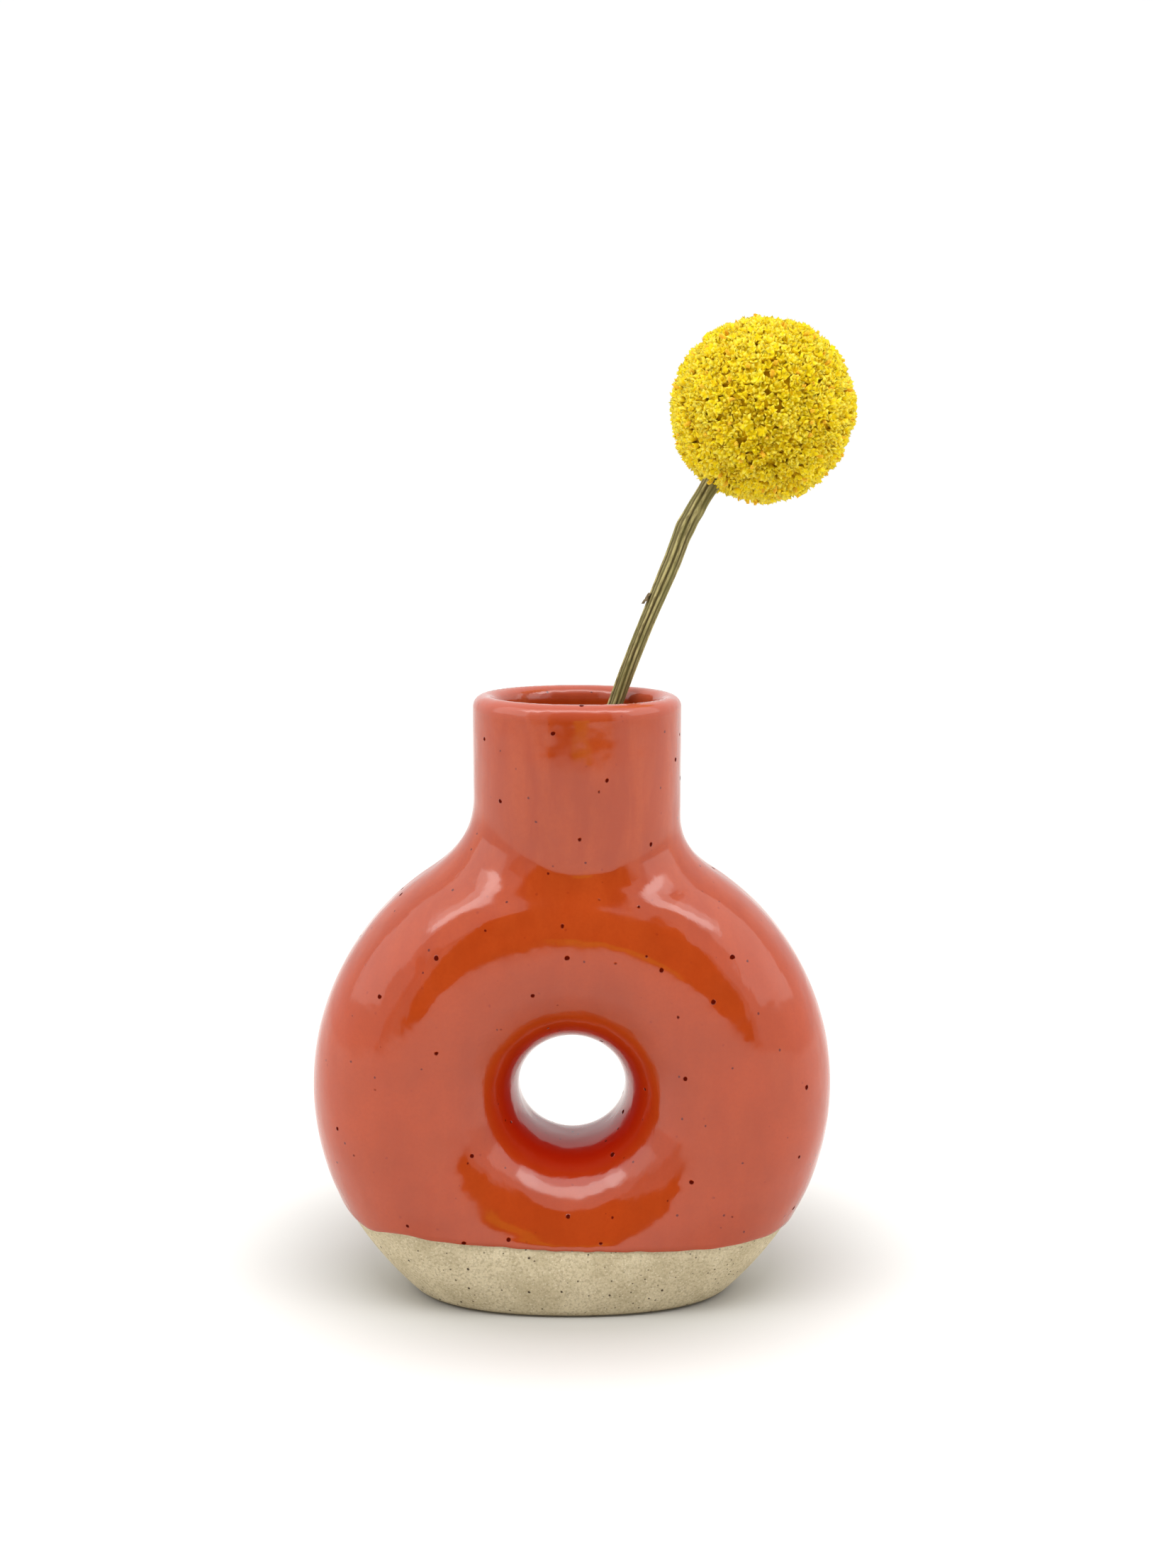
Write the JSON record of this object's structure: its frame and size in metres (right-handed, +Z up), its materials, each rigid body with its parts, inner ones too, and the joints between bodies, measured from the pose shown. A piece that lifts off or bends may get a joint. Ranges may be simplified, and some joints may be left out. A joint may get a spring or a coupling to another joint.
{
  "type": "ceramic bud vase",
  "caption": "Hollow ring-shaped stoneware bud vase with a round neck, coral glaze above a bare clay foot, holding a dried globe flower that lifts out.",
  "frame": {"origin": "centre of the flat foot on the table, below the middle of the hole", "axes": "+Z up; the hole through the ring runs along Y and the front faces -Y; the flower leans towards +X and slightly +Y"},
  "size_m": [0.0905, 0.0481, 0.1613],
  "materials": {
    "clay": "matte",
    "outer_glaze": "gloss",
    "liner_glaze": "gloss",
    "stem": "matte",
    "leaf": "matte",
    "flower_core": "matte",
    "florets": "matte"
  },
  "bodies": {
    "vase": {"ring_body": "clay", "neck_collar": "clay", "outer_glaze": "outer_glaze", "liner_glaze": "liner_glaze"},
    "flower": {"stem": "stem", "leaf_stub": "leaf", "receptacle": "flower_core", "floret_head": "florets"}
  },
  "joints": [
    {"name": "flower_lift", "type": "slide", "parent": "vase", "child": "flower", "axis": [0.3467, 0.1028, 0.9323], "range_m": [0, 0.11]}
  ]
}
